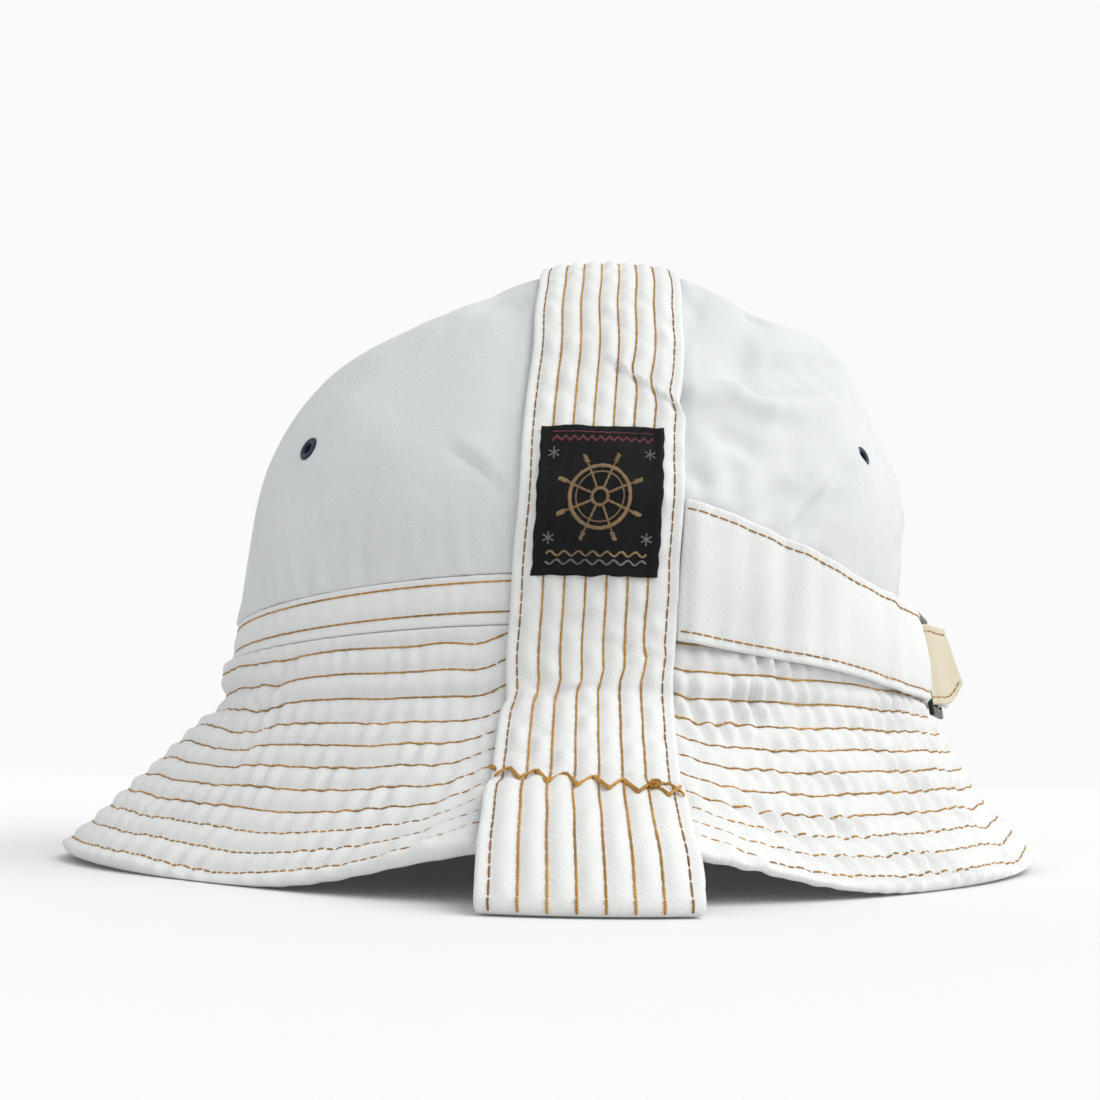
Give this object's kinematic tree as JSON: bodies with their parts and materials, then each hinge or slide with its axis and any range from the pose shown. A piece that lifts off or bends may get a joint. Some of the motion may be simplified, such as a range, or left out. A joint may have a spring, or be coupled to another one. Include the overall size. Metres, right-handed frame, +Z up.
{
  "type": "sailor cap",
  "caption": "White twill cap with a flared row-stitched brim, a strip over the crown from ear to ear, and a cinch strap with a slide buckle.",
  "frame": {"origin": "on the table that the cap stands on, under the middle of its outline seen from above", "axes": "+Z up out of the crown, -Y the front of the cap, +Y the rear with the buckle, +X the wearer's left"},
  "size_m": [0.2922, 0.278, 0.1796],
  "materials": {
    "brim_twill": "white cotton twill, stitched in rows with golden-brown thread",
    "crown_twill": "washed white cotton twill with a cool cast",
    "strip_twill": "white cotton twill, stitched lengthwise",
    "label_cloth": "black damask-woven label with tan thread",
    "buckle_metal": "gunmetal, worn to brass at the corners",
    "eyelet_metal": "dark navy lacquer"
  },
  "bodies": {
    "root": {"brim": "brim_twill", "crown_band": "crown_twill", "crown_front": "crown_twill", "crown_rear": "crown_twill", "over_strip": "strip_twill", "label": "label_cloth", "strap_left": "strip_twill", "strap_right": "strip_twill", "buckle": "buckle_metal", "eyelet_left_front": "eyelet_metal", "eyelet_left_rear": "eyelet_metal", "eyelet_right_front": "eyelet_metal", "eyelet_right_rear": "eyelet_metal"}
  },
  "joints": []
}
